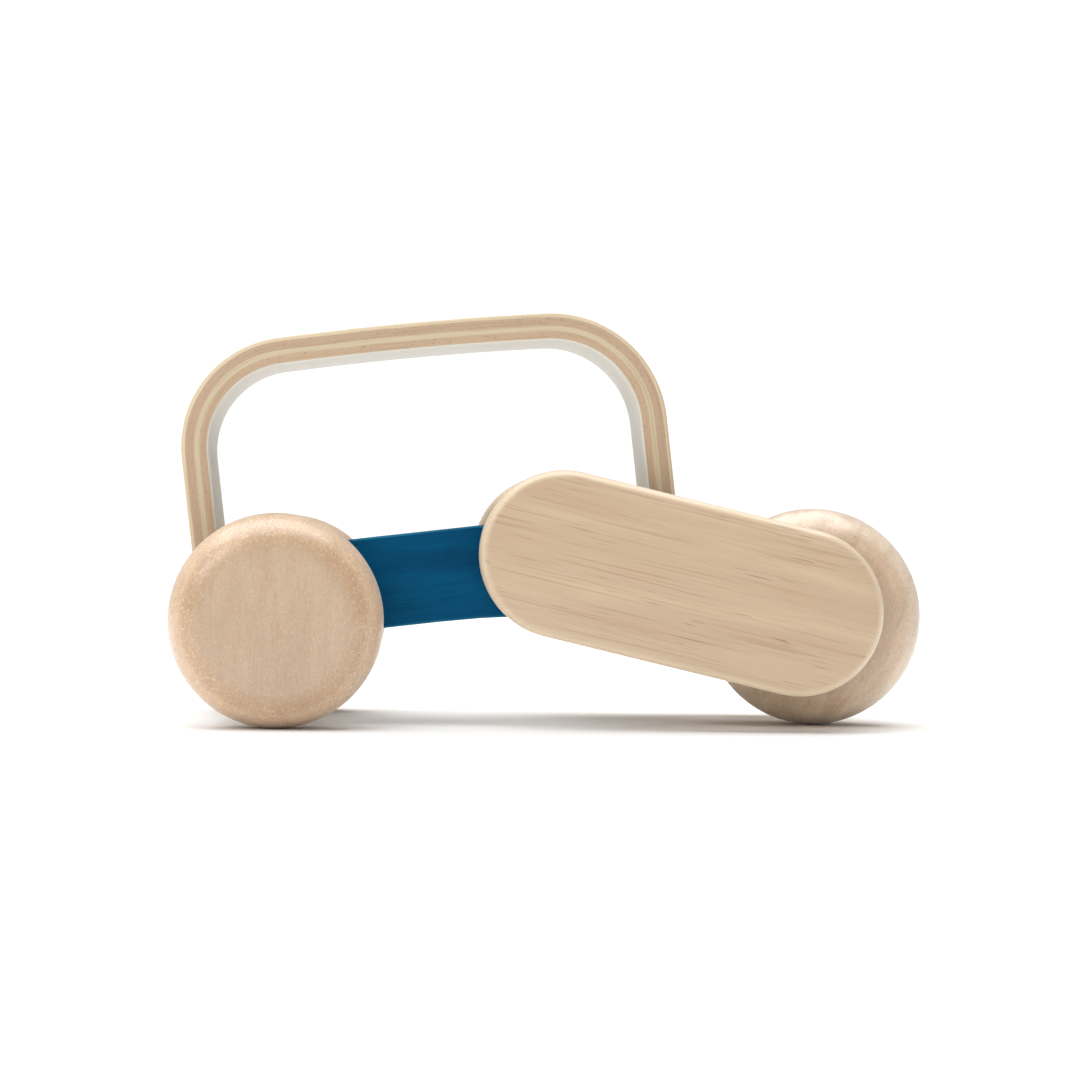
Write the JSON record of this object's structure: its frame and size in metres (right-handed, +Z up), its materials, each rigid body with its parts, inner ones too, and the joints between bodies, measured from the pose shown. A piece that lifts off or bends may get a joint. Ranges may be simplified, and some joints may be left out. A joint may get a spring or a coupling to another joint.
{
  "type": "baby walker",
  "caption": "Low wooden hand-pushed walker: a bent-plywood hand hoop on blue side rails, bun wheels, and a rocking front arm of oblong blocks.",
  "frame": {"origin": "on the floor, under the middle of the overall box", "axes": "+X towards the front wheel, +Y towards the far side (left of a person facing +X), +Z up"},
  "size_m": [0.2218, 0.0964, 0.1207],
  "materials": {
    "rubberwood": "planed and sanded solid wood, thin clear satin finish, fine brown grain lines",
    "turned_wood": "turned solid wood, fine-sanded, thin clear satin finish",
    "bent_plywood": "five bent plies glued together, edges sanded, matt clear finish",
    "blue_stained_plywood": "deep blue water stain under a satin clear coat, fine grain showing",
    "dowel_wood": "plain turned dowel, unfinished",
    "steel": "drawn steel rod",
    "nylon": "natural moulded nylon",
    "cork": "pressed cork"
  },
  "bodies": {
    "frame": {"handle_hoop": "bent_plywood", "rear_cross_block": "rubberwood", "front_cross_block": "rubberwood", "rail_near": "blue_stained_plywood", "rail_dowel_near_1": "dowel_wood", "rail_dowel_near_2": "dowel_wood", "rail_dowel_near_3": "dowel_wood", "rail_dowel_near_4": "dowel_wood", "rear_leg_dowel_near": "dowel_wood", "front_leg_dowel_near": "dowel_wood", "rear_axle_bush_near": "nylon", "pivot_bush_near": "nylon", "rail_far": "blue_stained_plywood", "rail_dowel_far_1": "dowel_wood", "rail_dowel_far_2": "dowel_wood", "rail_dowel_far_3": "dowel_wood", "rail_dowel_far_4": "dowel_wood", "rear_leg_dowel_far": "dowel_wood", "front_leg_dowel_far": "dowel_wood", "rear_axle_bush_far": "nylon", "pivot_bush_far": "nylon"},
    "rear_wheelset": {"rear_axle": "steel", "rear_wheel_near": "turned_wood", "rear_wheel_far": "turned_wood", "rear_washer_near": "nylon", "rear_washer_far": "nylon"},
    "front_arm": {"arm_block_near": "rubberwood", "arm_block_far": "rubberwood", "friction_washer_near": "cork", "friction_washer_far": "cork", "front_spacer_near": "dowel_wood", "front_spacer_far": "dowel_wood", "front_washer_near": "nylon", "front_washer_far": "nylon", "pivot_dowel": "dowel_wood", "stop_pin": "steel", "front_axle": "steel"},
    "front_wheel_body": {"front_wheel": "turned_wood", "front_wheel_bush": "nylon"}
  },
  "joints": [
    {"name": "rear_axle_spin", "type": "hinge", "parent": "frame", "child": "rear_wheelset", "pos_m": [-0.08038, 0, 0.0305], "axis": [0, 1, 0], "continuous": true},
    {"name": "arm_pivot", "type": "hinge", "parent": "frame", "child": "front_arm", "pos_m": [0.03503, 0, 0.04245], "axis": [0, 1, 0], "range_deg": [-20, 25]},
    {"name": "front_wheel_spin", "type": "hinge", "parent": "front_arm", "child": "front_wheel_body", "pos_m": [0.07848, 0, 0.0324], "axis": [0, 1, 0], "continuous": true}
  ]
}
